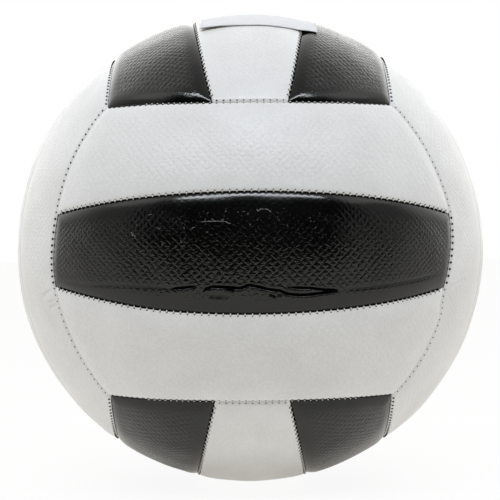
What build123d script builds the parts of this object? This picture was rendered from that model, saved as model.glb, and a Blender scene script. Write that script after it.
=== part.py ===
from build123d import *
import math
import os

# Ball and panel layout. Sizes are in millimetres.
BALL_DIAMETER = 210.0
MIDDLE_STRIP_WIDTH = 49.4
MIDDLE_STRIP_END_WIDTH = 30.4
SEAM_GAP = 0.3

# Seam walls between faces point at a place this far from the ball's centre, so that two cross cleanly.
WALL_TIP = 2.0

# Cover panels: foam-backed sheet with a turned-in hem along every edge
PANEL_THICKNESS = 3.0
HEM_WIDTH = 6.0
HEM_THICKNESS = 1.5
EDGE_ROLL = 1.8
CORNER_RADIUS = 3.0

# Seam thread
THREAD_DIAMETER = 0.8
THREAD_SIDES = 6
THREAD_CLEARANCE = 0.05
THREAD_END_GAP = 1.6

# Bladder
BLADDER_WALL = 0.9
BLADDER_CLEARANCE = 0.3
BOND_LINE = 0.1

# Valve, on the axis of the back face
VALVE_HOLE_DIAMETER = 9.0
VALVE_HOLE_ROLL = 0.8
VALVE_NECK_DIAMETER = 8.2
VALVE_RECESS = 0.9
VALVE_FLANGE_DIAMETER = 30.0
VALVE_FLANGE_THICKNESS = 1.2
VALVE_STEM_DIAMETER = 11.0
VALVE_STEM_LENGTH = 17.0
VALVE_STEM_ROUND = 1.5
PATCH_DIAMETER = 28.0
PATCH_THICKNESS = 0.7

# Valve core, a rubber plug with a head, a retaining collar and a needle passage
CORE_DIAMETER = 4.8
CORE_CLEARANCE = 0.1
CORE_HEAD_DIAMETER = 6.0
CORE_HEAD_HEIGHT = 1.2
CORE_COLLAR_DIAMETER = 6.4
CORE_COLLAR_HEIGHT = 2.0
CORE_COLLAR_DEPTH = 11.0
NEEDLE_DIAMETER = 1.9
NEEDLE_FUNNEL_DIAMETER = 3.4
NEEDLE_FUNNEL_DEPTH = 1.0

# Paper label on top
LABEL_WIDTH = 52.0
LABEL_LENGTH = 72.0
LABEL_THICKNESS = 0.2
LABEL_CORNER = 2.0
LABEL_CLEARANCE = 0.1
LABEL_OFFSET_X = 4.8
LABEL_OFFSET_Y = -3.0
LABEL_TURN = -1.5

# The six faces meet on the diagonals of a cube, so a face edge lies this far from its face's axis.
RADIUS = BALL_DIAMETER / 2
FACE_ANGLE = math.degrees(math.acos(1 / math.sqrt(3)))
CENTRE = Align.CENTER
DIAGONAL = Axis((0, 0, 0), (1, 1, 1))

# The plane between a middle and an outer strip of the front face, z = SEAM_SLOPE * -y + SEAM_RISE
strip_middle_depth = math.sqrt(RADIUS**2 - (MIDDLE_STRIP_WIDTH / 2) ** 2)
strip_end_depth = RADIUS / math.sqrt(3)
SEAM_SLOPE = (MIDDLE_STRIP_WIDTH - MIDDLE_STRIP_END_WIDTH) / 2 / (strip_middle_depth - strip_end_depth)
SEAM_RISE = MIDDLE_STRIP_END_WIDTH / 2 - SEAM_SLOPE * strip_end_depth

panel_back = RADIUS - PANEL_THICKNESS
hem_back = panel_back - HEM_THICKNESS
bladder_outside = hem_back - BLADDER_CLEARANCE
bladder_inside = bladder_outside - BLADDER_WALL


def arc_angle(length):
    """Degrees that a length along the ball's surface spans."""
    return math.degrees(length / RADIUS)


def cone(half_angle):
    """A blunt cone open towards -Z that cuts the ball's surface at half_angle from its axis."""
    spread = math.sin(math.radians(half_angle)) / (math.cos(math.radians(half_angle)) - WALL_TIP / RADIUS)
    near = 0.3 * RADIUS
    far = 1.2 * RADIUS
    body = Cone(
        (far - WALL_TIP) * spread, (near - WALL_TIP) * spread, far - near, align=(CENTRE, CENTRE, Align.MAX)
    )
    return Pos(0, 0, -near) * body


def seam_plane(side, inset):
    """The strip seam above (side 1) or below (side -1) the middle strip, moved into the outer strip."""
    normal = Vector(0, SEAM_SLOPE, side).normalized()
    return Plane(origin=Vector(0, 0, side * SEAM_RISE) + normal * inset, z_dir=normal)


def front_shell(outside, inside, inset):
    """The front face's share of a hollow ball, kept back from the face's left and right edges."""
    ball = Sphere(outside) - Sphere(inside)
    return ball & Rotation(-90, 0, 90) * cone(FACE_ANGLE - arc_angle(inset))


def middle_strip(outside, inside, inset):
    strip = front_shell(outside, inside, inset)
    strip = split(strip, bisect_by=seam_plane(1, -inset), keep=Keep.BOTTOM)
    return split(strip, bisect_by=seam_plane(-1, -inset), keep=Keep.BOTTOM)


def outer_strip(outside, inside, inset):
    strip = front_shell(outside, inside, inset) - Rotation(180, 0, 0) * cone(FACE_ANGLE + arc_angle(inset))
    return split(strip, bisect_by=seam_plane(1, inset), keep=Keep.TOP)


def is_corner(edge):
    """Whether an edge runs from the back of the hem straight out to the surface."""
    reach = abs((edge @ 1).length - (edge @ 0).length)
    return abs(reach - (RADIUS - hem_back)) < 0.01


def outer_face(panel):
    return max(panel.faces(), key=lambda face: face.center().length)


def cover_panel(strip):
    """A panel with rounded corners, rolled edges and a hem round a shallow pocket at the back."""
    panel = strip(RADIUS, hem_back, SEAM_GAP / 2)
    panel = fillet(panel.edges().filter_by(is_corner), CORNER_RADIUS)
    panel = fillet(outer_face(panel).edges(), EDGE_ROLL)
    return panel - strip(panel_back, hem_back - HEM_THICKNESS, SEAM_GAP / 2 + HEM_WIDTH)


def turned(shape, half_turn, third_turns):
    """A copy on another face: turned half round an axis, then by thirds round the cube's diagonal."""
    if half_turn is not None:
        shape = shape.rotate(half_turn, 180)
    return shape.rotate(DIAGONAL, -120 * third_turns)


def all_turns(shape):
    """The twelve copies that the ball's symmetry makes of one piece."""
    return [turned(shape, half, third) for third in range(3) for half in (None, Axis.X, Axis.Y, Axis.Z)]


def along_valve(radius, low, high):
    """A round bar on the valve's axis, between two distances from the ball's centre."""
    bar = Cylinder(radius, high - low, align=(CENTRE, CENTRE, Align.MIN))
    return Pos(0, low, 0) * Rotation(-90, 0, 0) * bar


# The eighteen cover panels, three strips on each of six faces
middle_panel = cover_panel(middle_strip)
outer_panel = cover_panel(outer_strip)
FACES = (
    ("front", "back", "upper", "lower"),
    ("left", "right", "back", "front"),
    ("bottom", "top", "right", "left"),
)
nodes = {}
for third, (near, far, first, last) in enumerate(FACES):
    nodes[f"panel_{near}_{first}"] = turned(outer_panel, None, third)
    nodes[f"panel_{near}_middle"] = turned(middle_panel, None, third)
    nodes[f"panel_{near}_{last}"] = turned(outer_panel, Axis.Y, third)
    nodes[f"panel_{far}_{first}"] = turned(outer_panel, Axis.Z, third)
    nodes[f"panel_{far}_middle"] = turned(middle_panel, Axis.Z, third)
    nodes[f"panel_{far}_{last}"] = turned(outer_panel, Axis.X, third)

# The valve hole in the back face, with a rolled rim
valve_panel = nodes["panel_back_middle"] - along_valve(VALVE_HOLE_DIAMETER / 2, 0, 2 * RADIUS)
rim = valve_panel.edges().filter_by(GeomType.CIRCLE)
rim = rim.filter_by(lambda edge: abs(edge.radius - VALVE_HOLE_DIAMETER / 2) < 0.01).sort_by(Axis.Y)[-1]
nodes["panel_back_middle"] = fillet(rim, VALVE_HOLE_ROLL)

# Seam thread with a six-sided section. It lies where it touches the rolled edges of both panels.
thread_radius = THREAD_DIAMETER / 2
thread_section = RegularPolygon(thread_radius, THREAD_SIDES)
thread_reach = EDGE_ROLL + thread_radius + THREAD_CLEARANCE
thread_level = RADIUS - EDGE_ROLL + math.sqrt(thread_reach**2 - (EDGE_ROLL + SEAM_GAP / 2) ** 2)
end_angle = arc_angle(THREAD_END_GAP)

# Along the seam between the front and the top face, a circle about the Z axis
face_seam_radius = thread_level * math.sqrt(2 / 3)
face_seam_start = Plane(origin=(0, -face_seam_radius, thread_level / math.sqrt(3)), z_dir=(1, 0, 0))
face_seam_span = 90 - 2 * end_angle
face_thread = revolve(face_seam_start * thread_section, Axis.Z, face_seam_span)
nodes["seam_thread_between_faces"] = Compound(all_turns(face_thread.rotate(Axis.Z, -face_seam_span / 2)))

# Along the seam above the front face's middle strip, a circle about the seam plane's normal
seam = seam_plane(1, 0)
seam_centre = seam.z_dir * (SEAM_RISE * seam.z_dir.Z)
seam_radius = math.sqrt(thread_level**2 - seam_centre.length**2)
towards_front = Vector(0, -seam.z_dir.Z, seam.z_dir.Y)
end_depth = thread_level * math.cos(math.radians(FACE_ANGLE - end_angle))
half_span = math.degrees(math.acos((end_depth + seam_centre.Y) / (seam_radius * seam.z_dir.Z)))
seam_axis = Axis(seam_centre, seam.z_dir)
strip_seam_start = Plane(origin=seam_centre + towards_front * seam_radius, z_dir=(1, 0, 0))
strip_thread = revolve(strip_seam_start * thread_section, seam_axis, 2 * half_span)
nodes["seam_thread_between_strips"] = Compound(all_turns(strip_thread.rotate(seam_axis, -half_span)))

# Bladder, with a hole that the valve neck passes
neck_radius = VALVE_NECK_DIAMETER / 2
bladder = Sphere(bladder_outside) - Sphere(bladder_inside)
nodes["bladder"] = bladder - along_valve(neck_radius + BOND_LINE, 0, 2 * RADIUS)

# Valve housing: a flange bonded inside the bladder, a neck up to the cover and a stem into the air
flange_top = bladder_inside - BOND_LINE
flange_back = flange_top - VALVE_FLANGE_THICKNESS
neck_top = RADIUS - VALVE_RECESS
stem_end = flange_back - VALVE_STEM_LENGTH
flange = Sphere(flange_top) - Sphere(flange_back)
flange = flange & along_valve(VALVE_FLANGE_DIAMETER / 2, 0, 2 * RADIUS)
stem = along_valve(VALVE_STEM_DIAMETER / 2, stem_end, flange_top - VALVE_FLANGE_THICKNESS / 2)
stem = fillet(stem.edges().sort_by(Axis.Y)[0], VALVE_STEM_ROUND)
housing = flange + stem + along_valve(neck_radius, flange_back, neck_top)

# Valve core and the seat that it fills in the housing
collar_middle = neck_top - CORE_COLLAR_DEPTH


def core_form(growth):
    """The core's outer form, or its seat when grown by a clearance."""
    shank = along_valve(CORE_DIAMETER / 2 + growth, stem_end, neck_top)
    head = along_valve(CORE_HEAD_DIAMETER / 2 + growth, neck_top - CORE_HEAD_HEIGHT - growth, neck_top)
    collar_half = CORE_COLLAR_HEIGHT / 2 + growth
    collar = along_valve(
        CORE_COLLAR_DIAMETER / 2 + growth, collar_middle - collar_half, collar_middle + collar_half
    )
    return shank + head + collar


funnel = Cone(
    NEEDLE_DIAMETER / 2, NEEDLE_FUNNEL_DIAMETER / 2, NEEDLE_FUNNEL_DEPTH, align=(CENTRE, CENTRE, Align.MIN)
)
funnel = Pos(0, neck_top - NEEDLE_FUNNEL_DEPTH, 0) * Rotation(-90, 0, 0) * funnel
nodes["valve_housing"] = housing - core_form(CORE_CLEARANCE)
nodes["valve_core"] = core_form(0) - along_valve(NEEDLE_DIAMETER / 2, 0, 2 * RADIUS) - funnel

# Patch behind the panel, round the valve hole
patch = Sphere(panel_back - BOND_LINE) - Sphere(panel_back - BOND_LINE - PATCH_THICKNESS)
patch = patch & along_valve(PATCH_DIAMETER / 2, 0, 2 * RADIUS)
nodes["valve_patch"] = patch - along_valve(VALVE_HOLE_DIAMETER / 2, 0, 2 * RADIUS)

# Blank paper label, bent over the top strips
label_back = RADIUS + LABEL_CLEARANCE
outline = Rotation(0, 0, LABEL_TURN) * RectangleRounded(LABEL_WIDTH, LABEL_LENGTH, LABEL_CORNER)
column = extrude(Pos(LABEL_OFFSET_X, LABEL_OFFSET_Y, 0) * outline, 2 * RADIUS)
nodes["paper_label"] = (Sphere(label_back + LABEL_THICKNESS) - Sphere(label_back)) & column

os.makedirs("parts", exist_ok=True)
for name, shape in nodes.items():
    shape.label = name
    export_step(shape, f"parts/{name}.step")
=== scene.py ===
import math
from collections import namedtuple

import bpy
import numpy as np
from mathutils import Matrix, Vector
from mathutils.bvhtree import BVHTree


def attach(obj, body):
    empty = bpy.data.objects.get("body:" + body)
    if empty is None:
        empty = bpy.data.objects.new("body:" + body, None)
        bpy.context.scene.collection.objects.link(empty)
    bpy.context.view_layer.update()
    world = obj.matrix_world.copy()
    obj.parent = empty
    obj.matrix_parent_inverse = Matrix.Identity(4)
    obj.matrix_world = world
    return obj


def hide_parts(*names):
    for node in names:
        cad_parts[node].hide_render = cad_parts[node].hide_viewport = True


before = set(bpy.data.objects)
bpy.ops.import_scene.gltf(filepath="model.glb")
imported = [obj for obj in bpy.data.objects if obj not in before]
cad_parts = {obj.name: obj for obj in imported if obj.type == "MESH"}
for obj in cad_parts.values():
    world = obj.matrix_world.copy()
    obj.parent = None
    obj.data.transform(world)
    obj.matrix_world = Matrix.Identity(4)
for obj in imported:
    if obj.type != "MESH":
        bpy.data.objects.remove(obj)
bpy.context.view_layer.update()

# The ball's layout in millimetres, the same as the CAD model's
MM = 0.001
RADIUS = 105.0
MIDDLE_WIDTH = 49.4
MIDDLE_END_WIDTH = 30.4
FACE_EDGE = RADIUS / math.sqrt(3)
FACE_ANGLE = math.acos(1 / math.sqrt(3))
middle_depth = math.sqrt(RADIUS**2 - (MIDDLE_WIDTH / 2) ** 2)
SLOPE = (MIDDLE_WIDTH - MIDDLE_END_WIDTH) / 2 / (middle_depth - FACE_EDGE)
RISE = MIDDLE_END_WIDTH / 2 - SLOPE * FACE_EDGE
LEAN = math.sqrt(1 + SLOPE**2)

# The soft shape of a panel: from the middle of a seam to its edge, the radius of its corners,
# how far its surface drops outside them, the deepest fall of its edges, and the level of its back
EDGE_INSET = 0.11
CORNER = 0.9
CORNER_DROP = 0.8
DEEPEST_EDGE = 2.3
BACK_LEVEL = RADIUS - 4.2

# Mesh of a panel: its steps along and across, the steps from an edge into the rolled part,
# how many steps make one on the back, and panels with a finer stretch along and across,
# each given by its start, its end and its step
STEP_ALONG = 0.62
STEP_ACROSS = 0.75
ROLL_STEPS = [0, 0.06, 0.16, 0.32, 0.55, 0.85, 1.25, 1.75, 2.35, 3.05]
BACK_STEP = 4
FINE_STEPS = {
    "panel_front_middle": ((55, 135, 0.31), (5.5, 13.5, 0.24)),
    "panel_left_front": ((0, 200, 0.5), (20, 38, 0.45)),
    "panel_right_front": ((0, 200, 0.5), (20, 38, 0.45)),
    "panel_back_middle": ((93, 107, 0.3), (18, 32, 0.3)),
}

# Swelling of a panel: its height over the ball, the sink of its edges and how far in that reaches,
# the roll of its edge at strip seams and at face seams as radius and steepest tilt in degrees,
# and the depth of each stitch's pull on the edge
Swell = namedtuple("Swell", "top sink reach strip_roll face_roll pull")
WHITE_SWELL = Swell(0.25, 0.45, 8.0, (2.8, 42), (2.2, 52), 0.15)
BLACK_SWELL = Swell(0.25, 1.05, 5.5, (0.5, 45), (1.0, 50), 0.07)
OWN_SWELL = {
    "top_left": Swell(0.8, 1.35, 6.0, (0.7, 50), (1.0, 50), 0.1),
    "top_right": Swell(0.65, 1.35, 6.0, (0.7, 50), (1.0, 50), 0.1),
}

# Sewing of a kind of seam: pitch of its stitches, radius of the thread, level of a stitch over a groove
# between white panels and of one that leaves a groove beside a black panel, radius of the dark bead that
# paints the shade of a needle hole opposite a black panel, distance of a hole from the seam, and level of the
# dark thread in the groove, partly painted shade of the gap
Sewing = namedtuple("Sewing", "pitch thread arch_level short_level hole offset line_level")
STRIP_SEWING = Sewing(2.95, 0.29, -0.5, -0.16, 0.42, 0.85, -0.75)
FACE_SEWING = Sewing(2.7, 0.27, -0.9, -0.25, 0.54, 0.8, -1.25)

# Radius of the dark beads that paint the shade of needle holes between white panels, in general and at the
# upper left, then the radius of the thread in a groove, its shift towards the white panel, and its level
# between white panels
WHITE_HOLE = 0.29
UPPER_LEFT_HOLE = 0.42
GROOVE_THREAD = 0.35
GROOVE_SHIFT = 0.15
PALE_LEVEL = -1.6

# Sides of a stitch or hole, and of a thread in a groove
STITCH_SIDES = 7
GROOVE_SIDES = 6

# Valve hole in the back panel: its radius, and the radius of its rolled rim
VALVE_HOLE = 4.5
VALVE_RIM = 1.2

# Turns that carry the front face to every other one, as in the CAD model
THIRD = np.array([[0, 1, 0], [0, 0, 1], [1, 0, 0]], float)
HALF = {
    "none": np.diag([1.0, 1, 1]),
    "x": np.diag([1.0, -1, -1]),
    "y": np.diag([-1.0, 1, -1]),
    "z": np.diag([-1.0, -1, 1]),
}


def turn(half, thirds):
    return np.linalg.matrix_power(THIRD, thirds) @ HALF[half]


def smooth(low, high, x):
    t = np.clip((x - low) / (high - low), 0, 1)
    return t * t * (3 - 2 * t)


# Surface of a strip on the front face. u runs along it from -1 to 1, v across it from 0 to 1.
def strip_point(kind, u, v):
    """Place on the ball, distance along the strip and distance across it, in millimetres."""
    if kind == "middle":
        slope = SLOPE * (2 * v - 1)
        rise = RISE * (2 * v - 1)
    else:
        slope = SLOPE * (1 - v)
        rise = RISE * (1 - v) + FACE_EDGE * v
    lean = np.sqrt(1 + slope**2)
    reach = np.sqrt(RADIUS**2 - (rise / lean) ** 2)
    centre_y = slope * rise / lean**2
    centre_z = rise / lean**2
    angle = u * np.arccos(lean * (FACE_EDGE + centre_y) / reach)
    point = np.stack(
        [
            reach * np.sin(angle),
            centre_y - reach * np.cos(angle) / lean,
            centre_z + reach * np.cos(angle) * slope / lean,
        ],
        axis=-1,
    )
    across = RADIUS * np.arctan2(centre_z + reach * slope / lean, reach / lean - centre_y)
    return point, reach * angle, across


def panel_edges(kind, point):
    """Distance from each kind of seam round a panel and the place along that seam, in millimetres."""
    unit = point / RADIUS
    x, y, z = unit[..., 0], unit[..., 1], unit[..., 2]
    level = math.asin(RISE / LEAN / RADIUS)
    upper = RADIUS * (np.arcsin((SLOPE * y + z) / LEAN) - level)
    lower = RADIUS * (np.arcsin((SLOPE * y - z) / LEAN) - level)
    face_reach = RADIUS * math.sin(FACE_ANGLE)
    from_strip = np.minimum(-upper, -lower) if kind == "middle" else upper
    strip = (from_strip, RADIUS * np.arcsin(np.clip(x, -1, 1)))
    end = (RADIUS * (FACE_ANGLE - np.arccos(np.clip(-y, -1, 1))), face_reach * np.arctan2(z, np.abs(x)))
    if kind == "middle":
        return {"strip": strip, "end": end}
    outer = (RADIUS * (np.arccos(np.clip(z, -1, 1)) - FACE_ANGLE), face_reach * np.arctan2(x, -y))
    return {"strip": strip, "end": end, "outer": outer}


def edge_fall(distance, roll, swell):
    """How far a panel's surface lies under its top at a distance from a seam."""
    radius, tilt = roll
    lean_in = np.clip(radius * math.sin(math.radians(tilt)) - distance, 0, 0.98 * radius)
    rolled = radius - np.sqrt(radius**2 - lean_in**2)
    return swell.sink * np.clip(1 - distance / swell.reach, 0, 1) ** 2 + rolled


def stray(points):
    """Shift the sewn panels along the ball a little, as the seams of the photographed ball do."""
    x, y, z = points.T

    # Side faces wider in the middle, the left one more
    shifted_x = x * (1 - 0.050 * smooth(58, 86, -x) - 0.02 * smooth(58, 86, x))

    # Left corners of the top and bottom faces further out
    shifted_x -= 1.5 * smooth(40, 60, -x) * smooth(48, 60, z)
    shifted_x -= 1.2 * smooth(40, 60, -x) * smooth(48, 60, -z)

    # White middle strips of the top and bottom faces wider, more on the left
    shifted_x -= 1.3 * np.exp(-(((x + 19) / 12) ** 2)) * (smooth(45, 70, z) + 0.7 * smooth(45, 70, -z))
    shifted_x += 0.65 * np.exp(-(((x - 19) / 12) ** 2)) * smooth(45, 70, np.abs(z))

    # Ends of the black front strip leaning, with its lower right corner drawn in
    strip_end = smooth(55, 80, np.abs(x)) * smooth(10, 40, -y)
    shifted_x += np.where(x > 0, 0.3, 0.18) * z * np.exp(-((z / 20) ** 2)) * strip_end
    shifted_x -= 3.0 * np.exp(-(((z + 18) / 6) ** 2)) * strip_end * (x > 0)

    # White strips of the front and back taller, and the black front strip's lower left seam higher
    shifted_z = z * (1 + 0.034 * smooth(25, 60, np.abs(z)))
    low_left = smooth(30, 75, -x) * np.exp(-(((z + 19) / 14) ** 2)) * smooth(10, 40, -y)
    shifted_z += 1.1 * low_left

    # Every point stays as far from the ball's centre as it was
    moved = np.stack([shifted_x, y, shifted_z], -1)
    length = np.linalg.norm(points, axis=1) / np.linalg.norm(moved, axis=1)
    return moved * length[:, None]


def from_edge(side, end):
    """Distance from the outline, whose corners are round."""
    near = np.minimum(side, end)
    round_part = CORNER - np.hypot(CORNER - side, CORNER - end)
    return np.where((side < CORNER) & (end < CORNER), round_part, near)


def spaced(length, step, finer):
    """Places from 0 to length, closer in the rolled edges and in the finer stretch, if there is one.

    Their number suits the steps of the back.
    """
    low, high, close = finer or (0, 0, step)
    places = [0.0]
    while places[-1] < length:
        here = places[-1]
        places.append(here + (close if low <= here <= high else step))
    places = np.array(places) / places[-1] * length
    margin = ROLL_STEPS[-1] + 0.4
    places = [p for p in places if margin < p < length - margin]
    while (len(places) - 1 + 2 * len(ROLL_STEPS)) % BACK_STEP:
        places.insert(1, (places[0] + places[1]) / 2)
    return np.array(ROLL_STEPS + places + [length - r for r in reversed(ROLL_STEPS)])


def crease(x, z, line, depth, width):
    """Depth of a fold along a line of points, fading out at its ends, with a low lip beside it."""
    longest_fade = 8.0
    lip = 0.05
    line = np.array(line, float)
    best = np.full(x.shape, np.inf)
    place = np.zeros(x.shape)
    lengths = np.hypot(*np.diff(line, axis=0).T)
    start = 0.0
    for (ax, az), (bx, bz), length in zip(line[:-1], line[1:], lengths):
        t = np.clip(((x - ax) * (bx - ax) + (z - az) * (bz - az)) / length**2, 0, 1)
        away = np.hypot(x - ax - t * (bx - ax), z - az - t * (bz - az))
        nearer = away < best
        best = np.where(nearer, away, best)
        place = np.where(nearer, start + t * length, place)
        start += length
    run = min(0.3 * start, longest_fade)
    fade = smooth(0, run, place) * smooth(0, run, start - place)
    valley = np.exp(-((best / width) ** 2))
    lips = lip * np.exp(-(((best - 2.6 * width) / (1.4 * width)) ** 2))
    return depth * fade * (valley - lips)


# Folds that show in the photograph: the two axes of their points, then each line with its depth
# and half width. On the black strip, a fold deeper than DARK_FOLD gets painted shade inside.
DARK_FOLD = 0.5
FOLDS = {
    "panel_front_middle": (
        (0, 2),
        ([(-33.2, -14.5), (-27.5, -13.9), (-21.8, -13.1)], 0.75, 0.5),
        (
            [(-21, -16.1), (-18.6, -14.2), (-15.8, -13.5), (-9.7, -13.7), (-4.9, -14.2)]
            + [(-1.3, -12.9), (1.9, -13.5), (7.1, -14.8), (11.1, -15.3), (14.3, -16.7)]
            + [(19.2, -17.2), (23.2, -17), (31.4, -16.2), (36.4, -15)],
            1.0,
            0.5,
        ),
        ([(12.7, -13.7), (17.6, -14.1), (23.2, -14.4), (29, -15.1), (35.5, -15)], 0.9, 0.45),
        ([(6.4, -16.5), (9.6, -17.9)], 0.6, 0.35),
        ([(9.7, -16.8), (12.2, -17.4)], 0.55, 0.35),
        ([(-11.2, -14.6), (-7, -15.3)], 0.6, 0.4),
        ([(-19.5, -16.8), (-14.5, -17.4), (-8, -17.1)], 0.22, 0.9),
        (
            [(-82, -12.1), (-75.9, -13.3), (-68.3, -14.2), (-51.8, -13.6), (-33.2, -14.3), (-21.8, -13.2)],
            0.16,
            1.0,
        ),
        ([(35.5, -15.2), (45.9, -14.7), (56.6, -13.7), (69.9, -11.9), (82.1, -9)], 0.22, 0.9),
    ),
    "panel_front_lower": (
        (0, 2),
        ([(-14, -39.4), (-10.9, -47.9), (-7.3, -57.4)], 0.12, 0.8),
    ),
    "panel_right_front": (
        (1, 2),
        (
            [(-62.8, -13.9), (-60.8, -14.3), (-57.7, -14.6), (-54.7, -13.9), (-50.3, -13), (-42.6, -12)],
            0.32,
            0.5,
        ),
        ([(-61.9, -15.1), (-58.8, -16.1), (-56.5, -15.9)], 0.4, 0.5),
        ([(-61.7, -17), (-59, -17.8), (-56.5, -19.1), (-55, -21.8)], 0.35, 0.55),
        ([(-44.7, -18.4), (-43.3, -23.7), (-42.2, -30.2), (-39, -35.6)], 0.16, 0.6),
        ([(-60.8, -18.5), (-58.1, -19.9)], 0.25, 0.5),
    ),
    "panel_left_front": (
        (1, 2),
        ([(-60.8, -16.2), (-56.3, -17.4), (-52.4, -18.9), (-49.2, -20.7)], 0.5, 0.55),
        ([(-60.2, -20.5), (-57.1, -21.2), (-53, -22.1)], 0.55, 0.55),
        ([(-60.4, -22.4), (-56.9, -23.2), (-53.5, -24.4)], 0.5, 0.55),
    ),
}


def lumps(along, across, seed):
    """Slight unevenness of a stuffed cover: waves of several sizes and headings."""
    waves = 9
    shortest, longest = 14, 46
    steepness = 0.0016
    rng = np.random.default_rng(seed)
    height = np.zeros(along.shape)
    for _ in range(waves):
        size = rng.uniform(shortest, longest)
        heading = rng.uniform(0, math.tau)
        phase = rng.uniform(0, math.tau)
        wave = (along * math.cos(heading) + across * math.sin(heading)) / size * math.tau
        height += steepness * size * np.sin(wave + phase)
    return height


def mesh_object(name, points, faces, materials, slots=None):
    mesh = bpy.data.meshes.new(name)
    mesh.from_pydata(points, [], faces)
    for material in materials:
        mesh.materials.append(material)
    mesh.polygons.foreach_set("use_smooth", np.ones(len(mesh.polygons), bool))
    if slots is not None:
        mesh.polygons.foreach_set("material_index", np.array(slots, np.int32))
    mesh.update()
    made = bpy.data.objects.new(name, mesh)
    bpy.context.scene.collection.objects.link(made)
    return made


def panel(node, kind, matrix, finishes, swell, seed):
    """One padded cover panel: pillowed outside, rolled edges drawn in at each stitch, closed behind.

    A second finish, if given, goes into its deep folds as painted shade.
    """
    fine_along, fine_across = FINE_STEPS.get(node, (None, None))
    table_v = np.linspace(0, 1, 400)
    table_across = strip_point(kind, np.zeros_like(table_v), table_v)[2]
    width = table_across[-1] - table_across[0]
    half_length = strip_point(kind, np.array([1.0]), np.array([0.5]))[1][0]
    along_steps = spaced(2 * half_length - 2 * EDGE_INSET, STEP_ALONG, fine_along) + EDGE_INSET
    across_steps = spaced(width - 2 * EDGE_INSET, STEP_ACROSS, fine_across) + EDGE_INSET
    u = along_steps / half_length - 1
    v = np.interp(across_steps, table_across - table_across[0], table_v)
    grid_u, grid_v = np.meshgrid(u, v, indexing="ij")
    ball, along, across = strip_point(kind, grid_u, grid_v)
    edges = panel_edges(kind, ball)
    end = edges["end"][0]
    side = edges["strip"][0]
    if kind == "outer":
        side = np.minimum(side, edges["outer"][0])
    inside = from_edge(side, end)

    # Rolled edges, whose falls blend at the corners, and the pull of each stitch
    pull_reach = 0.9
    cubes = np.zeros(along.shape)
    pull = np.zeros(along.shape)
    for seam, (distance, place) in edges.items():
        at_strip = seam == "strip"
        pitch = (STRIP_SEWING if at_strip else FACE_SEWING).pitch
        cubes += edge_fall(distance, swell.strip_roll if at_strip else swell.face_roll, swell) ** 3
        pulled = np.exp(-((distance / pull_reach) ** 2)) * np.cos(math.pi * place / pitch) ** 4
        pull = np.maximum(pull, pulled)
    outside = np.clip(-inside, 0, 1.2)
    fall = np.cbrt(cubes) + CORNER_DROP * outside
    height = swell.top - np.minimum(fall, DEEPEST_EDGE) - swell.pull * pull
    height += lumps(along, across, seed) * smooth(1, 6, inside)

    # Folds, and the rolled rim of the valve hole
    seen = ball @ matrix.T
    folded = np.zeros(along.shape)
    dark_fold = np.zeros(along.shape, bool)
    if node in FOLDS:
        (first, second), *folds = FOLDS[node]
        for line, depth, breadth in folds:
            valley = crease(seen[..., first], seen[..., second], line, depth, breadth)
            height -= valley
            folded = np.maximum(folded, valley)
            ragged = 0.06 * np.sin(2.3 * along) * np.sin(1.1 * along + 1)
            # Faces deep in a fold get painted shade
            dark_fold |= (depth > DARK_FOLD) & (valley > 0.1 + ragged)
    if node == "panel_back_middle":
        from_hole = np.hypot(ball[..., 0], ball[..., 2]) - (VALVE_HOLE - 0.1)
        lean_in = np.clip(VALVE_RIM - from_hole, 0, VALVE_RIM)
        height -= VALVE_RIM - np.sqrt(VALVE_RIM**2 - lean_in**2)

    points = ball / RADIUS * (RADIUS + height)[..., None]
    rows, columns = points.shape[:2]
    index = np.arange(rows * columns).reshape(rows, columns)
    corners = [index[:-1, :-1], index[1:, :-1], index[1:, 1:], index[:-1, 1:]]
    faces = np.stack(corners, -1).reshape(-1, 4).tolist()

    # Walls down from the outline
    loop = np.concatenate([index[:-1, 0], index[-1, :-1], index[:0:-1, -1], index[0, :0:-1]])
    flat = points.reshape(-1, 3)
    wall = ball.reshape(-1, 3)[loop] / RADIUS * BACK_LEVEL
    below = dict(zip(loop.tolist(), range(len(flat), len(flat) + len(loop))))
    following = np.roll(loop, -1)
    for a, b in zip(loop.tolist(), following.tolist()):
        faces.append((b, a, below[a], below[b]))

    # A coarse back that meets every point of the walls
    back_rows = range(0, rows, BACK_STEP)
    back_columns = range(0, columns, BACK_STEP)
    extra = []
    back_of = {}
    for i in back_rows[1:-1]:
        for j in back_columns[1:-1]:
            back_of[i, j] = len(flat) + len(loop) + len(extra)
            extra.append(ball[i, j] / RADIUS * BACK_LEVEL)

    def back(i, j):
        return back_of[i, j] if (i, j) in back_of else below[int(index[i, j])]

    for i0, i1 in zip(back_rows[:-1], back_rows[1:]):
        for j0, j1 in zip(back_columns[:-1], back_columns[1:]):
            ring = [(i0, j0)]
            ring += [(i0, j) for j in range(j0 + 1, j1)] if i0 == 0 else []
            ring += [(i0, j1)]
            ring += [(i, j1) for i in range(i0 + 1, i1)] if j1 == columns - 1 else []
            ring += [(i1, j1)]
            ring += [(i1, j) for j in range(j1 - 1, j0, -1)] if i1 == rows - 1 else []
            ring += [(i1, j0)]
            ring += [(i, j0) for i in range(i1 - 1, i0, -1)] if j0 == 0 else []
            faces.append(tuple(back(i, j) for i, j in ring))

    everything = np.vstack([flat, wall, extra])
    placed = stray(everything @ matrix.T) * MM
    slots = None
    # Faces in the deep folds take the second finish, which is painted shade
    if len(finishes) > 1:
        in_fold = (dark_fold[:-1, :-1] & dark_fold[1:, 1:]).ravel().astype(int).tolist()
        slots = in_fold + [0] * (len(faces) - len(in_fold))
    made = mesh_object(node + "_cover", placed.tolist(), faces, finishes, slots)

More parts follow.
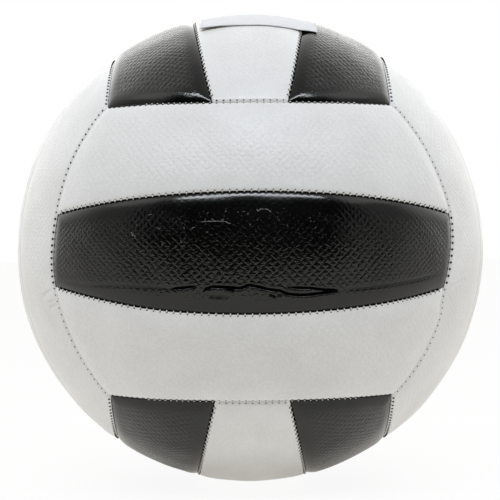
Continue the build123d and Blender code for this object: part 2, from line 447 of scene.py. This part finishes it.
    # Places on the panel for its material: along it, across it and in from its edge, and depths of folds
    place = np.zeros((len(everything), 3))
    place[: len(flat)] = np.stack([along, across, inside], -1).reshape(-1, 3)
    depths = np.zeros(len(everything))
    depths[: len(flat)] = folded.ravel()
    values = made.data.attributes.new("panel_mm", "FLOAT_VECTOR", "POINT")
    values.data.foreach_set("vector", place.ravel())
    values = made.data.attributes.new("fold_mm", "FLOAT", "POINT")
    values.data.foreach_set("value", depths)
    return made


# Node helpers for materials
def add(tree, kind, inputs=None, **settings):
    made = tree.nodes.new(kind)
    for key, value in settings.items():
        setattr(made, key, value)
    for key, value in (inputs or {}).items():
        if isinstance(value, bpy.types.NodeSocket):
            tree.links.new(value, made.inputs[key])
        else:
            made.inputs[key].default_value = value
    return made


def maths(tree, operation, *values):
    made = tree.nodes.new("ShaderNodeMath")
    made.operation = operation
    for k, value in enumerate(values):
        if isinstance(value, bpy.types.NodeSocket):
            tree.links.new(value, made.inputs[k])
        else:
            made.inputs[k].default_value = value
    return made.outputs[0]


def stretch(tree, value, low, high, to_low=0.0, to_high=1.0):
    made = add(tree, "ShaderNodeMapRange", {"Value": value}, interpolation_type="SMOOTHSTEP")
    made.inputs["From Min"].default_value = low
    made.inputs["From Max"].default_value = high
    made.inputs["To Min"].default_value = to_low
    made.inputs["To Max"].default_value = to_high
    return made.outputs["Result"]


def blend_colour(tree, factor, first, second):
    made = tree.nodes.new("ShaderNodeMix")
    made.data_type = "RGBA"
    tree.links.new(factor, made.inputs["Factor"])
    for key, value in (("A", first), ("B", second)):
        socket = [s for s in made.inputs if s.name == key and s.type == "RGBA"][0]
        if isinstance(value, bpy.types.NodeSocket):
            tree.links.new(value, socket)
        else:
            socket.default_value = value
    return [s for s in made.outputs if s.type == "RGBA"][0]


def new_material(name):
    made = bpy.data.materials.new(name)
    made.use_nodes = True
    made.node_tree.nodes.clear()
    tree = made.node_tree
    surface = tree.nodes.new("ShaderNodeBsdfPrincipled")
    output = tree.nodes.new("ShaderNodeOutputMaterial")
    tree.links.new(surface.outputs[0], output.inputs["Surface"])
    return made, tree, surface


def noise(tree, vector, scale, detail):
    inputs = {"Vector": vector, "Scale": scale, "Detail": detail}
    return add(tree, "ShaderNodeTexNoise", inputs).outputs["Fac"]


def colour_noise(tree, vector, scale, detail):
    inputs = {"Vector": vector, "Scale": scale, "Detail": detail}
    return add(tree, "ShaderNodeTexNoise", inputs).outputs["Color"]


def vector_maths(tree, operation, *values):
    made = tree.nodes.new("ShaderNodeVectorMath")
    made.operation = operation
    for socket, value in zip(made.inputs, values):
        if isinstance(value, bpy.types.NodeSocket):
            tree.links.new(value, socket)
        else:
            socket.default_value = value
    return made.outputs["Value" if operation in ("DOT_PRODUCT", "LENGTH", "DISTANCE") else "Vector"]


def embossed_grain(tree, place):
    """Heights of flat lozenges between swaying, broken grooves, without and with a finer grain."""
    sway = colour_noise(tree, place, 0.16, 3.0)
    shiver = colour_noise(tree, place, 0.5, 1.0)
    swayed = vector_maths(tree, "MULTIPLY_ADD", sway, (2.4, 2.4, 0), place)
    swayed = vector_maths(tree, "MULTIPLY_ADD", shiver, (1.0, 1.0, 0), swayed)
    parts = add(tree, "ShaderNodeSeparateXYZ", {0: swayed})
    x = maths(tree, "MULTIPLY", parts.outputs[0], math.pi / GRAIN_ALONG)
    y = maths(tree, "MULTIPLY", parts.outputs[1], math.pi / GRAIN_ACROSS)
    first = maths(tree, "ABSOLUTE", maths(tree, "SINE", maths(tree, "ADD", x, y)))
    second = maths(tree, "ABSOLUTE", maths(tree, "SINE", maths(tree, "SUBTRACT", x, y)))
    patches = add(tree, "ShaderNodeSeparateColor", {0: colour_noise(tree, place, 0.65, 1.0)}).outputs
    first = maths(tree, "SMOOTH_MAX", first, stretch(tree, patches[0], 0.42, 0.66, 0.0, 0.8), 0.2)
    second = maths(tree, "SMOOTH_MAX", second, stretch(tree, patches[1], 0.42, 0.66, 0.0, 0.8), 0.2)
    lozenges = maths(tree, "SMOOTH_MIN", first, second, 0.15)
    return lozenges, maths(tree, "MULTIPLY_ADD", noise(tree, place, 1.1, 1.0), 0.35, lozenges)


def lint(tree, place, lines, dots):
    """Mask of fine scratches along lines of points on a panel, and of specks of dust at points."""
    inner, outer = 0.16, 0.35
    flat = vector_maths(tree, "MULTIPLY", place, (1, 1, 0))
    nearest = None
    for line in lines:
        for (ax, ay), (bx, by) in zip(line[:-1], line[1:]):
            run = ((bx - ax), (by - ay), 0)
            square = run[0] ** 2 + run[1] ** 2
            start = vector_maths(tree, "SUBTRACT", flat, (ax, ay, 0))
            share = vector_maths(tree, "DOT_PRODUCT", start, (run[0] / square, run[1] / square, 0))
            share = maths(tree, "MINIMUM", maths(tree, "MAXIMUM", share, 0.0), 1.0)
            away = vector_maths(tree, "MULTIPLY_ADD", share, (-run[0], -run[1], 0), start)
            away = vector_maths(tree, "LENGTH", away)
            nearest = away if nearest is None else maths(tree, "MINIMUM", nearest, away)
    for x, y in dots:
        away = vector_maths(tree, "DISTANCE", flat, (x, y, 0))
        nearest = maths(tree, "MINIMUM", nearest, away)
    ragged = maths(tree, "MULTIPLY_ADD", noise(tree, place, 2.6, 2.0), 0.45, nearest)
    return stretch(tree, ragged, inner, outer, 1.0, 0.0)


# Finish of a cover: its colour, that of worn places, the lighter colour painted on its edges as a highlight,
# its roughness and that of edges, the depth of its grain in millimetres, and its index of refraction
Finish = namedtuple("Finish", "colour worn edge_colour roughness edge_roughness depth index")


def cover_material(name, finish, lines=(), dots=()):
    """Grained leather, smooth at its edges and painted lighter there as a highlight, with scratches and dust
    if their lines and points are given.
    """
    made, tree, surface = new_material(name)
    place = add(tree, "ShaderNodeAttribute", attribute_name="panel_mm").outputs["Vector"]
    folded = add(tree, "ShaderNodeAttribute", attribute_name="fold_mm").outputs["Fac"]
    inside = add(tree, "ShaderNodeSeparateXYZ", {0: place}).outputs[2]
    lozenges, grain = embossed_grain(tree, place)
    cloud = noise(tree, place, 0.045, 4.0)
    mottle = maths(tree, "MULTIPLY_ADD", noise(tree, place, 0.9, 3.0), 1.2, cloud)
    base = blend_colour(tree, stretch(tree, mottle, 0.75, 1.45), finish.colour, finish.worn)
    # Painted highlight: the edges blend towards the lighter edge colour, in patches set by this noise
    highlight_patches = noise(tree, place, 0.35, 3.0)
    near_edge = stretch(tree, inside, 0.2, 1.6, 1.0, 0.0)
    near_edge = maths(tree, "MULTIPLY", near_edge, stretch(tree, highlight_patches, 0.2, 0.75, 0.35, 1.0))
    base = blend_colour(tree, near_edge, base, finish.edge_colour)
    if lines:
        base = blend_colour(tree, lint(tree, place, lines, dots), base, LINT_COLOUR)
    tree.links.new(base, surface.inputs["Base Color"])
    rough = stretch(tree, cloud, 0.3, 0.7, finish.roughness - 0.04, finish.roughness + 0.05)
    rough = maths(tree, "MULTIPLY_ADD", stretch(tree, lozenges, 0.0, 0.4, 1.0, 0.0), 0.05, rough)
    smoother = finish.roughness - finish.edge_roughness
    rough = maths(tree, "SUBTRACT", rough, stretch(tree, inside, 0.5, 3.0, smoother, 0.0))
    rough = maths(tree, "ADD", rough, stretch(tree, folded, 0.08, 0.35, 0.0, 0.8))
    tree.links.new(rough, surface.inputs["Roughness"])
    height = maths(tree, "MULTIPLY", grain, stretch(tree, inside, 1.3, 10.0, 0.06, 1.0))
    bump = add(tree, "ShaderNodeBump", {"Height": height, "Distance": finish.depth * MM, "Strength": 1.0})
    tree.links.new(bump.outputs[0], surface.inputs["Normal"])
    surface.inputs["IOR"].default_value = finish.index
    return made


def plain_material(name, colour, other, roughness, scale, depth, specular=0.5):
    """A colour with fine mottling and a small bump, in the piece's own coordinates."""
    made, tree, surface = new_material(name)
    place = add(tree, "ShaderNodeTexCoord").outputs["Object"]
    mottle = noise(tree, place, scale, 4.0)
    base = blend_colour(tree, stretch(tree, mottle, 0.35, 0.7), colour, other)
    rough = stretch(tree, mottle, 0.3, 0.7, roughness - 0.07, roughness + 0.07)
    tree.links.new(base, surface.inputs["Base Color"])
    tree.links.new(rough, surface.inputs["Roughness"])
    bump = add(tree, "ShaderNodeBump", {"Height": mottle, "Distance": depth * MM, "Strength": 1.0})
    tree.links.new(bump.outputs[0], surface.inputs["Normal"])
    surface.inputs["Specular IOR Level"].default_value = specular
    return made


# Length and width of a lozenge of the grain, then scratches and dust on the black front strip
GRAIN_ALONG = 3.3
GRAIN_ACROSS = 3.5
LINT_COLOUR = (0.40, 0.40, 0.39, 1)
SCRATCHES = (
    ((-20.6, 12.8), (-19.1, 12.7), (-17.4, 12.9), (-13.4, 12.8), (-10.4, 12.7), (-9.3, 11.9), (-8.7, 11.9)),
    ((-18.6, 13.8), (-18.9, 12.8)),
    ((-15.9, 13.8), (-14.9, 13.0)),
    ((-11.3, 13.8), (-11.8, 12.8)),
    ((2.0, 17.5), (2.6, 16.7), (3.5, 17.6), (6.2, 17.5), (7.0, 17.0), (7.6, 16.2)),
    ((-38.7, 11.0), (-38.0, 10.2), (-37.2, 11.3)),
    ((-27.9, 11.0), (-27.2, 10.2)),
    ((-24.9, 9.9), (-23.2, 10.6)),
    ((-29.0, 5.1), (-28.4, 4.4)),
    ((-28.2, 2.7), (-27.5, 3.4)),
    ((-36.5, 4.6), (-37.0, 3.5)),
    ((-43.0, 16.8), (-41.3, 17.0)),
    ((-50.8, 9.5), (-49.7, 8.7), (-50.5, 8.1), (-48.9, 8.1), (-49.0, 6.7)),
)
DUST = (
    (-36.8, 17.7),
    (-32.7, 14.7),
    (-31.5, 14.7),
    (-28.8, 12.6),
    (-10.1, 17.9),
    (-4.1, 13.0),
    (-0.7, 10.7),
    (3.0, 9.5),
    (-10.6, 6.6),
    (-2.6, 4.9),
    (11.0, 8.8),
    (28.7, 6.8),
    (31.2, 2.6),
)
WHITE_FINISH = Finish(
    colour=(0.80, 0.80, 0.80, 1),
    worn=(0.73, 0.73, 0.725, 1),
    # lighter than the colour: a painted highlight along the edges
    edge_colour=(0.88, 0.88, 0.87, 1),
    roughness=0.40,
    edge_roughness=0.18,
    depth=0.12,
    index=1.5,
)
SIDE_FINISH = WHITE_FINISH._replace(depth=0.2)
BLACK_FINISH = Finish(
    colour=(0.0016, 0.0019, 0.0016, 1),
    worn=(0.0026, 0.0028, 0.0025, 1),
    # lighter than the colour: a painted highlight along the edges
    edge_colour=(0.003, 0.003, 0.0031, 1),
    roughness=0.17,
    edge_roughness=0.12,
    depth=0.13,
    index=1.46,
)
white_cover = cover_material("white_cover_leather", WHITE_FINISH)
side_cover = cover_material("white_cover_side", SIDE_FINISH)
black_cover = cover_material("black_cover_leather", BLACK_FINISH)
scuffed_cover = cover_material("black_cover_scuffed", BLACK_FINISH, SCRATCHES, DUST)
# Near-black and without reflection: dark thread, and painted shade in needle holes and in the gap beside black
# panels
dark_thread_and_shade = plain_material(
    "dark_thread_and_shade",
    (0.006, 0.006, 0.007, 1),
    (0.012, 0.012, 0.013, 1),
    roughness=0.7,
    scale=1500,
    depth=0.06,
    specular=0.0,
)
# Near-black and without reflection, for the inside of deep folds: painted shade
fold_shade = plain_material(
    "fold_shade",
    (0.002, 0.002, 0.002, 1),
    (0.003, 0.003, 0.003, 1),
    roughness=0.8,
    scale=300,
    depth=0.02,
    specular=0.0,
)
pale_thread = plain_material(
    "pale_thread",
    (0.72, 0.69, 0.63, 1),
    (0.80, 0.78, 0.74, 1),
    roughness=0.6,
    scale=1500,
    depth=0.06,
)
bladder_rubber = plain_material(
    "bladder_rubber",
    (0.02, 0.02, 0.02, 1),
    (0.035, 0.034, 0.033, 1),
    roughness=0.6,
    scale=90,
    depth=0.05,
)
valve_rubber = plain_material(
    "valve_rubber",
    (0.03, 0.03, 0.032, 1),
    (0.05, 0.05, 0.052, 1),
    roughness=0.5,
    scale=400,
    depth=0.03,
)
patch_cloth = plain_material(
    "patch_cloth",
    (0.55, 0.53, 0.48, 1),
    (0.66, 0.64, 0.6, 1),
    roughness=0.8,
    scale=900,
    depth=0.08,
)
label_face = plain_material(
    "label_paper",
    (0.70, 0.705, 0.72, 1),
    (0.67, 0.675, 0.69, 1),
    roughness=0.7,
    scale=300,
    depth=0.01,
    specular=0.2,
)
label_back = plain_material(
    "label_back",
    (0.66, 0.58, 0.48, 1),
    (0.70, 0.63, 0.53, 1),
    roughness=0.7,
    scale=300,
    depth=0.01,
    specular=0.2,
)

# The eighteen panels
BLACK = ("front_middle", "back_middle", "top_left", "top_right", "bottom_left", "bottom_right")
FACES = (
    ("front", "back", "upper", "lower"),
    ("left", "right", "back", "front"),
    ("bottom", "top", "right", "left"),
)
cover = []
for thirds, (near, far, first, last) in enumerate(FACES):
    cover.append((f"{near}_{first}", "outer", turn("none", thirds)))
    cover.append((f"{near}_middle", "middle", turn("none", thirds)))
    cover.append((f"{near}_{last}", "outer", turn("y", thirds)))
    cover.append((f"{far}_{first}", "outer", turn("z", thirds)))
    cover.append((f"{far}_middle", "middle", turn("z", thirds)))
    cover.append((f"{far}_{last}", "outer", turn("x", thirds)))
panels = {}
for seed, (short, kind, matrix) in enumerate(cover):
    node = "panel_" + short
    dark = short in BLACK
    swell = OWN_SWELL.get(short, BLACK_SWELL if dark else WHITE_SWELL)
    finishes = [black_cover if dark else white_cover]
    if short == "front_middle":
        finishes = [scuffed_cover, fold_shade]
    if short.startswith(("left", "right")):
        finishes = [side_cover]
    piece = panel(node, kind, matrix, finishes, swell, seed + 3)
    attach(piece, "root")
    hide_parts(node)
    panels[node] = piece

# The valve hole, cut through the back panel
bpy.ops.mesh.primitive_cylinder_add(
    vertices=72,
    radius=VALVE_HOLE * MM,
    depth=30 * MM,
    location=(0, 104 * MM, 0),
    rotation=(math.pi / 2, 0, 0),
)
cutter = bpy.context.object
hole = panels["panel_back_middle"].modifiers.new("valve_hole", "BOOLEAN")
hole.operation = "DIFFERENCE"
hole.object = cutter
bpy.context.view_layer.objects.active = panels["panel_back_middle"]
bpy.ops.object.modifier_apply(modifier=hole.name)
bpy.data.objects.remove(cutter)


# A seam is an arc on the ball, given by its circle's centre and radius, the direction of its middle,
# the direction along it there, and its half angle
Seam = namedtuple("Seam", "centre reach middle along half_angle")
SIDEWAYS = np.array([1.0, 0, 0])


def face_seam():
    centre = np.array([0, 0, FACE_EDGE])
    return Seam(centre, RADIUS * math.sin(FACE_ANGLE), np.array([0, -1.0, 0]), SIDEWAYS, math.pi / 4)


def strip_seam():
    centre = np.array([0, SLOPE, 1.0]) * RISE / LEAN**2
    middle = np.array([0, -1.0, SLOPE]) / LEAN
    reach = math.sqrt(RADIUS**2 - (RISE / LEAN) ** 2)
    half_angle = math.acos(LEAN * (FACE_EDGE + centre[1]) / reach)
    return Seam(centre, reach, middle, SIDEWAYS, half_angle)


def seam_frames(seam, places):
    """Points on the surface over a seam, with the directions across it, out of the ball and along it."""
    angle = (places / seam.reach)[:, None]
    point = seam.centre + seam.reach * (np.cos(angle) * seam.middle + np.sin(angle) * seam.along)
    along = np.cos(angle) * seam.along - np.sin(angle) * seam.middle
    out = point / np.linalg.norm(point, axis=1)[:, None]
    return point, np.cross(out, along), out, along


def tube(path, radius, sides):
    """Points and faces of a closed tube along a path."""
    path = np.array(path, float)
    ahead = np.gradient(path, axis=0)
    ahead /= np.linalg.norm(ahead, axis=1)[:, None]
    aside = np.eye(3)[np.argmin(np.abs(ahead).max(axis=0))]
    first = np.cross(ahead, aside)
    first /= np.linalg.norm(first, axis=1)[:, None]
    second = np.cross(ahead, first)
    turns = np.arange(sides) / sides * math.tau
    ring = np.cos(turns)[None, :, None] * first[:, None] + np.sin(turns)[None, :, None] * second[:, None]
    points = (path[:, None] + ring * np.asarray(radius).reshape(-1, 1, 1)).reshape(-1, 3)
    count = len(path)
    faces = []
    for i in range(count - 1):
        for k in range(sides):
            n = (k + 1) % sides
            faces.append((i * sides + k, i * sides + n, (i + 1) * sides + n, (i + 1) * sides + k))
    faces.append(tuple(reversed(range(sides))))
    faces.append(tuple((count - 1) * sides + k for k in range(sides)))
    return points, faces


def bead():
    """A ball of radius 1 as a tube of shrinking rings."""
    turns = np.linspace(0.15, math.pi - 0.15, 5)
    path = [(0, -math.cos(t), 0) for t in turns]
    return tube(path, np.sin(turns), STITCH_SIDES)


def short_stitch(sewing):
    """A stitch from the groove into a white panel, as points and faces in (across, out, along)."""
    path = [(0.1, -0.47, 0), (0.15, -0.17, 0), (0.28, 0, 0.03), (0.44, -0.02, 0.06), (0.62, -0.37, 0.1)]
    path = [(a, sewing.short_level + o, t) for a, o, t in path]
    return tube(path, np.full(len(path), sewing.thread), STITCH_SIDES)


def arch_stitch(sewing):
    """A stitch over the groove, as points and faces in (across, out, along)."""
    half = [(0.16, 0, 0.05), (0.42, -0.18, 0.12), (0.55, -0.9, 0.16)]
    path = [(-a, o, -t) for a, o, t in reversed(half)] + half
    path = [(a, sewing.arch_level + o, t) for a, o, t in path]
    return tube(path, np.full(len(path), sewing.thread), STITCH_SIDES)


def black_at(points):
    """Whether the panel at each point of the ball is a black one."""
    found = np.zeros(len(points), bool)
    for short, kind, matrix in cover:
        if short in BLACK:
            edges = panel_edges(kind, points @ matrix)
            found |= np.all([distance > 0 for distance, _ in edges.values()], axis=0)
    return found


def sew(name, seam, sewing, roll, node):
    """All stitches of twelve like seams.

    At each pitch a pale stitch crosses the groove, or comes out of it into the white panel beside a black one.
    At the left and right ends of black panels no stitch shows. Needle holes lie in the white panels, opposite
    a black one and on the outer side of face seams; each is a dark bead that paints the shade in the hole.
    In the groove lies a thread, dark along a black panel, where it also stands for the painted shade of the
    gap.
    """
    half_length = seam.reach * seam.half_angle
    thread_end = half_length - 0.9
    count = int((half_length - 2.4) / sewing.pitch)
    stitch_places = np.arange(-count, count + 1) * sewing.pitch
    line_places = np.linspace(-thread_end, thread_end, 121)
    line_sink = 0.7 * smooth(half_length - 4, thread_end, np.abs(line_places))
    hole_level = WHITE_SWELL.top - edge_fall(sewing.offset, roll, WHITE_SWELL)
    beside = 3.0
    arch = arch_stitch(sewing)
    short = short_stitch(sewing)
    hole_points, hole_faces = bead()
    points, faces, slots = [], [], []
    total = 0

    def put(new_points, new_faces, slot):
        nonlocal total
        points.append(new_points)
        faces.extend(tuple(k + total for k in face) for face in new_faces)
        slots.extend([slot] * len(new_faces))
        total += len(new_points)

    for thirds in range(3):
        for half in HALF:
            matrix = turn(half, thirds)
            middle, across, out, along = (part @ matrix.T for part in seam_frames(seam, stitch_places))
            black = {sign: black_at(middle + beside * sign * across) for sign in (-1, 1)}
            for sign in (-1, 1):
                outward = sign * across[:, 0] * np.sign(middle[:, 0])
                pierced = ~black[sign] & (black[-sign] | ((sewing is FACE_SEWING) & (outward > -0.3)))
                upper_left = smooth(0, 30, middle[:, 2]) * smooth(0, 20, -middle[:, 0])
                size = WHITE_HOLE + (UPPER_LEFT_HOLE - WHITE_HOLE) * upper_left
                size = np.where(black[-sign], sewing.hole, size)
                # Dark beads at the needle holes: painted shade
                for m, a, o, s in zip(middle[pierced], across[pierced], out[pierced], size[pierced]):
                    centre = m + sign * sewing.offset * a + (hole_level - 0.4 * s) * o
                    put(centre + s * hole_points, hole_faces, 0)
            white_side = black[-1].astype(int) - black[1].astype(int)
            for m, a, o, t, side in zip(middle, across, out, along, white_side):
                if side and sewing is FACE_SEWING and abs(a[0]) > 0.3:
                    continue
                shape, shape_faces = short if side else arch
                placed = m + shape[:, :1] * a * (side or 1) + shape[:, 1:2] * o + shape[:, 2:] * t
                put(placed, shape_faces, 1)
            middle, across, out, _ = (part @ matrix.T for part in seam_frames(seam, line_places))
            black = {sign: black_at(middle + beside * sign * across) for sign in (-1, 1)}
            white_side = black[-1].astype(int) - black[1].astype(int)
            for run in np.split(np.arange(len(line_places)), np.flatnonzero(np.diff(white_side)) + 1):
                if len(run) > 3:
                    side = white_side[run[0]]
                    # Beside a black panel the dark thread also paints the shade of the gap
                    level = (sewing.line_level if side else PALE_LEVEL) - line_sink[run, None]
                    path = middle[run] + GROOVE_SHIFT * side * across[run] + level * out[run]
                    thread = tube(path, np.full(len(run), GROOVE_THREAD), GROOVE_SIDES)
                    put(*thread, 0 if side else 1)
    everything = stray(np.vstack(points)) * MM
    made = mesh_object(name, everything.tolist(), faces, [dark_thread_and_shade, pale_thread], slots)
    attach(made, "root")
    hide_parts(node)


sew("face_seam_stitches", face_seam(), FACE_SEWING, WHITE_SWELL.face_roll, "seam_thread_between_faces")
sew("strip_seam_stitches", strip_seam(), STRIP_SEWING, WHITE_SWELL.strip_roll, "seam_thread_between_strips")


# Blank paper label that lies on the top strips, with its front corners lifting
def cover_level(directions):
    """Distance from the ball's centre to the top strips in each direction."""
    level = np.full(len(directions), RADIUS)
    for node in ("panel_top_left", "panel_top_middle", "panel_top_right"):
        mesh = panels[node].data
        tree = BVHTree.FromPolygons([v.co for v in mesh.vertices], [p.vertices for p in mesh.polygons])
        for k, direction in enumerate(directions):
            outward = Vector(direction)
            hit = tree.ray_cast(outward * 1.1 * RADIUS * MM, -outward)[0]
            if hit is not None:
                level[k] = max(level[k], hit.length / MM)
    return level


def spread(field, reach, combine):
    """Combine each value of a grid with its neighbours within a reach."""
    padded = np.pad(field, reach, mode="edge")
    rows, columns = field.shape
    shifts = range(2 * reach + 1)
    return combine([padded[i : i + rows, j : j + columns] for i in shifts for j in shifts], axis=0)


def paper_label():
    """A thin sheet that follows the panels under it."""
    width, length, thickness = 50.0, 72.0, 0.22
    centre_x, centre_y, heading = 5.1, -6.3, math.radians(-0.5)
    clearance = 0.26
    a = np.linspace(-width / 2, width / 2, 53)
    b = np.linspace(-length / 2, length / 2, 73)
    grid_a, grid_b = np.meshgrid(a, b, indexing="ij")
    x = centre_x + grid_a * math.cos(heading) - grid_b * math.sin(heading)
    y = centre_y + grid_a * math.sin(heading) + grid_b * math.cos(heading)
    from_front = grid_b + length / 2

    # The front edge bends back on the right, its corners lift, and the paper waves a little
    lowest = 3
    y += 0.0036 * np.clip(x - lowest, 0, None) ** 2 * smooth(20, 0, from_front)
    near_front = np.exp(-((from_front / 9) ** 2))
    lift = near_front * np.where(x < lowest, 0.012, 0.0025) * np.abs(x - lowest) ** 1.5
    lift += 0.2 * near_front * np.exp(-(((x - 4) / 8) ** 2))
    lift += 0.04 * (1 + np.sin(grid_a / 4.1) * np.sin(grid_b / 6.3 + 1.0))
    ball = np.stack([x, y, np.sqrt(RADIUS**2 - x**2 - y**2)], -1)
    outward = stray(ball.reshape(-1, 3)) / RADIUS
    level = cover_level(outward).reshape(x.shape)
    level = spread(spread(level, 3, np.max), 2, np.mean) + clearance + lift
    outward = outward.reshape(ball.shape)
    top = outward * level[..., None]
    under = outward * (level - thickness)[..., None]
    rows, columns = top.shape[:2]
    index = np.arange(rows * columns).reshape(rows, columns)
    quads = np.stack([index[:-1, :-1], index[1:, :-1], index[1:, 1:], index[:-1, 1:]], -1).reshape(-1, 4)
    faces = quads.tolist()
    slots = [0] * len(faces)
    shift = rows * columns
    faces += (quads[:, ::-1] + shift).tolist()
    slots += [1] * len(quads)
    loop = np.concatenate([index[:-1, 0], index[-1, :-1], index[:0:-1, -1], index[0, :0:-1]])
    for p, q in zip(loop.tolist(), np.roll(loop, -1).tolist()):
        faces.append((q, p, p + shift, q + shift))
        slots.append(0)
    points = np.vstack([top.reshape(-1, 3), under.reshape(-1, 3)]) * MM
    made = mesh_object("paper_label_sheet", points.tolist(), faces, [label_face, label_back], slots)
    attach(made, "root")
    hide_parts("paper_label")


paper_label()

# Finishes of the CAD nodes that stay
for node, material in (
    ("bladder", bladder_rubber),
    ("valve_housing", valve_rubber),
    ("valve_core", valve_rubber),
    ("valve_patch", patch_cloth),
):
    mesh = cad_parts[node].data
    mesh.materials.clear()
    mesh.materials.append(material)

# Floor, just under the dressed ball
FLOOR_LEVEL = -(RADIUS + 0.3) * MM
bpy.ops.mesh.primitive_plane_add(size=1.0, location=(0, 1.8, FLOOR_LEVEL))
floor = bpy.context.object
floor.name = "floor"
floor.scale = (6.0, 4.76, 1.0)
floor_material = bpy.data.materials.new("floor_white")
floor_material.use_nodes = True
tree = floor_material.node_tree
tree.nodes.clear()
path = tree.nodes.new("ShaderNodeLightPath")
seen = maths(tree, "MAXIMUM", path.outputs["Is Camera Ray"], path.outputs["Is Transmission Ray"])
matte = add(tree, "ShaderNodeBsdfDiffuse", {"Color": (0.90, 0.885, 0.86, 1)})
tint = blend_colour(tree, seen, (1, 0.965, 0.89, 1), (1, 1, 1, 1))
white = add(tree, "ShaderNodeEmission", {"Color": tint, "Strength": 1.0})
share = maths(tree, "MULTIPLY_ADD", seen, 0.52, 0.4)
both = add(tree, "ShaderNodeMixShader", {0: share, 1: matte.outputs[0], 2: white.outputs[0]})
tree.links.new(both.outputs[0], add(tree, "ShaderNodeOutputMaterial").inputs["Surface"])
floor.data.materials.append(floor_material)

# Studio: white behind and overhead, dimmer towards the front, brighter high up at both sides,
# with a dark room in front, where the camera stands
world = bpy.data.worlds.new("studio")
bpy.context.scene.world = world
world.use_nodes = True
tree = world.node_tree
tree.nodes.clear()
direction = add(tree, "ShaderNodeSeparateXYZ", {0: add(tree, "ShaderNodeTexCoord").outputs["Generated"]})
x, y, z = direction.outputs
flat = maths(tree, "MULTIPLY_ADD", x, x, maths(tree, "MULTIPLY", y, y))
flat = maths(tree, "SQRT", flat)
ahead = maths(tree, "DIVIDE", maths(tree, "MULTIPLY", y, -1.0), maths(tree, "MAXIMUM", flat, 0.001))
in_front = stretch(tree, ahead, 0.50, 0.62)
low_down = stretch(tree, z, 0.68, 0.82, 1.0, 0.0)
dark = maths(tree, "MULTIPLY", in_front, low_down)
behind = stretch(tree, ahead, -0.8, 0.22, 1.8, 0.40)
behind = maths(tree, "MULTIPLY", behind, stretch(tree, z, -0.05, 0.4, 0.9, 1.15))
level = maths(tree, "MINIMUM", behind, maths(tree, "MULTIPLY_ADD", z, -2.4, 2.85))
at_sides = stretch(tree, ahead, -0.2, 0.1)
at_sides = maths(tree, "MULTIPLY", at_sides, stretch(tree, ahead, 0.44, 0.58, 1.0, 0.0))
high_up = maths(tree, "MULTIPLY", stretch(tree, z, 0.54, 0.64), stretch(tree, z, 0.78, 0.88, 1.0, 0.0))
level = maths(tree, "MULTIPLY_ADD", maths(tree, "MULTIPLY", at_sides, high_up), 1.0, level)
level = maths(tree, "MULTIPLY", level, stretch(tree, dark, 0.0, 1.0, 1.0, 0.005))
path = tree.nodes.new("ShaderNodeLightPath")
studio = add(tree, "ShaderNodeBackground", {"Color": (1.0, 0.995, 0.98, 1), "Strength": level})
white = add(tree, "ShaderNodeBackground", {"Color": (1, 1, 1, 1), "Strength": 1.0})
seen = path.outputs["Is Camera Ray"]
both = add(tree, "ShaderNodeMixShader", {0: seen, 1: studio.outputs[0], 2: white.outputs[0]})
tree.links.new(both.outputs[0], add(tree, "ShaderNodeOutputWorld").inputs["Surface"])

# A long softbox over the front, turned to the ball's centre
light = bpy.data.lights.new("front_softbox", "AREA")
light.shape = "RECTANGLE"
light.size = 1.15
light.size_y = 0.13
light.energy = 7.3
light.color = (0.91, 0.955, 1.0)
softbox = bpy.data.objects.new("front_softbox", light)
bpy.context.scene.collection.objects.link(softbox)
softbox.location = (0.0, -0.60, 0.88)
softbox.rotation_mode = "QUATERNION"
softbox.rotation_quaternion = softbox.location.to_track_quat("Z", "Y")

# Camera, as fitted to the seams in the photograph
PICTURE_PIXELS = 500
DISTANCE = 8.1 * RADIUS * MM
turned = Matrix.Rotation(math.radians(-0.4), 3, "Z") @ Matrix.Rotation(math.radians(-1.0), 3, "X")
turned = turned @ Matrix.Rotation(math.radians(0.41), 3, "Y")
right, forward, up = np.array(turned.transposed())
lens = bpy.data.cameras.new("camera")
camera = bpy.data.objects.new("camera", lens)
bpy.context.scene.collection.objects.link(camera)
place = -DISTANCE * forward
camera.matrix_world = Matrix(
    [
        (right[0], up[0], -forward[0], place[0]),
        (right[1], up[1], -forward[1], place[1]),
        (right[2], up[2], -forward[2], place[2]),
        (0, 0, 0, 1),
    ]
)
lens.sensor_width = 36.0
lens.lens = 134.3
lens.shift_x = -0.2 / PICTURE_PIXELS
lens.shift_y = -1.7 / PICTURE_PIXELS
bpy.context.scene.camera = camera
bpy.context.scene.view_settings.view_transform = "Standard"
